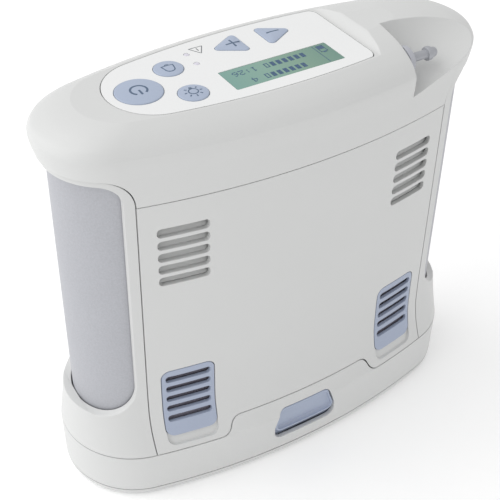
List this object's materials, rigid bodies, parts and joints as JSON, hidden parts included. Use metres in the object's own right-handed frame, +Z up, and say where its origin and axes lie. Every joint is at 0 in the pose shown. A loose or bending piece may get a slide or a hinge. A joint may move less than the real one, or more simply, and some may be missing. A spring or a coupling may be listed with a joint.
{
  "type": "portable oxygen concentrator",
  "caption": "Oval-plan portable oxygen concentrator with sieve columns at both ends, a top keypad and display, a recessed hose nozzle and a slide-on battery base.",
  "frame": {"origin": "centre of the bounding box on the plane the battery base stands on", "axes": "+X along the long side towards the hose nozzle, -Y out of the front face with the battery latch, +Z up"},
  "size_m": [0.194, 0.0816, 0.1837],
  "materials": {
    "shell": "satin",
    "overlay": "satin",
    "accent": "satin",
    "key": "satin",
    "column": "fine-grained satin paint",
    "filter_mesh": "woven",
    "display": "gloss",
    "light_pipe": "gloss",
    "dark_plastic": "satin",
    "mid_plastic": "satin",
    "pale_plastic": "satin",
    "collar": "satin",
    "nozzle": "satin",
    "circuit_board": "satin",
    "cell_wrap": "shrink wrap",
    "cast_metal": "cast",
    "motor_steel": "brushed",
    "screw_steel": "plated"
  },
  "bodies": {
    "housing": {"top_cap": "shell", "keypad_overlay": "overlay", "led_pipe_1": "light_pipe", "led_pipe_2": "light_pipe", "lcd_window": "display", "lcd_module": "dark_plastic", "display_board": "circuit_board", "buzzer": "dark_plastic", "nozzle_collar": "collar", "cannula_nozzle": "nozzle", "front_panel": "shell", "rear_panel": "shell", "end_frame_left": "shell", "end_frame_right": "shell", "column_left": "column", "column_right": "column", "chassis_tray": "mid_plastic", "compressor_motor": "motor_steel", "compressor_head_left": "cast_metal", "compressor_head_right": "cast_metal", "valve_manifold": "dark_plastic", "solenoid_valve_1": "motor_steel", "solenoid_valve_2": "motor_steel", "accumulator": "pale_plastic", "fan_frame": "dark_plastic", "main_board": "circuit_board", "oxygen_sensor": "pale_plastic", "outlet_tube": "pale_plastic", "dc_jack": "dark_plastic"},
    "battery": {"battery_case": "shell", "battery_base": "shell", "cell_1": "cell_wrap", "cell_2": "cell_wrap", "cell_3": "cell_wrap", "cell_4": "cell_wrap", "cell_5": "cell_wrap", "cell_6": "cell_wrap", "battery_board": "circuit_board", "battery_plug": "dark_plastic", "base_screw_1": "screw_steel", "base_screw_2": "screw_steel", "base_screw_3": "screw_steel", "base_screw_4": "screw_steel"},
    "latch": {"battery_latch": "accent"},
    "power_key": {"key_power": "key"},
    "alert_key": {"key_alert": "key"},
    "light_key": {"key_light": "key"},
    "plus_key": {"key_plus": "key"},
    "minus_key": {"key_minus": "key"},
    "filter_front_left": {"filter_frame_front_left": "accent", "filter_mesh_front_left": "filter_mesh"},
    "filter_front_right": {"filter_frame_front_right": "accent", "filter_mesh_front_right": "filter_mesh"},
    "filter_rear_left": {"filter_frame_rear_left": "accent", "filter_mesh_rear_left": "filter_mesh"},
    "filter_rear_right": {"filter_frame_rear_right": "accent", "filter_mesh_rear_right": "filter_mesh"},
    "fan": {"fan_rotor": "dark_plastic"}
  },
  "joints": [
    {"name": "battery_slide", "type": "slide", "parent": "housing", "child": "battery", "axis": [0, -1, 0], "range_m": [0, 0.085]},
    {"name": "latch_press", "type": "slide", "parent": "battery", "child": "latch", "axis": [0, 0, -1], "range_m": [0, 0.0035], "stiffness_N_per_m": 900, "springref_m": -0.002},
    {"name": "power_key_press", "type": "slide", "parent": "housing", "child": "power_key", "axis": [0, 0, -1], "range_m": [0, 0.0008], "stiffness_N_per_m": 1500, "springref_m": -0.0005},
    {"name": "alert_key_press", "type": "slide", "parent": "housing", "child": "alert_key", "axis": [0, 0, -1], "range_m": [0, 0.0008], "stiffness_N_per_m": 1500, "springref_m": -0.0005},
    {"name": "light_key_press", "type": "slide", "parent": "housing", "child": "light_key", "axis": [0, 0, -1], "range_m": [0, 0.0008], "stiffness_N_per_m": 1500, "springref_m": -0.0005},
    {"name": "plus_key_press", "type": "slide", "parent": "housing", "child": "plus_key", "axis": [0, 0, -1], "range_m": [0, 0.0008], "stiffness_N_per_m": 1500, "springref_m": -0.0005},
    {"name": "minus_key_press", "type": "slide", "parent": "housing", "child": "minus_key", "axis": [0, 0, -1], "range_m": [0, 0.0008], "stiffness_N_per_m": 1500, "springref_m": -0.0005},
    {"name": "front_left_filter_pull", "type": "slide", "parent": "housing", "child": "filter_front_left", "axis": [0, -1, 0], "range_m": [0, 0.014]},
    {"name": "front_right_filter_pull", "type": "slide", "parent": "housing", "child": "filter_front_right", "axis": [0, -1, 0], "range_m": [0, 0.014]},
    {"name": "rear_left_filter_pull", "type": "slide", "parent": "housing", "child": "filter_rear_left", "axis": [0, 1, 0], "range_m": [0, 0.014]},
    {"name": "rear_right_filter_pull", "type": "slide", "parent": "housing", "child": "filter_rear_right", "axis": [0, 1, 0], "range_m": [0, 0.014]},
    {"name": "fan_spin", "type": "hinge", "parent": "housing", "child": "fan", "pos_m": [-0.041, 0.014, 0.128], "axis": [0, 1, 0], "continuous": true}
  ]
}
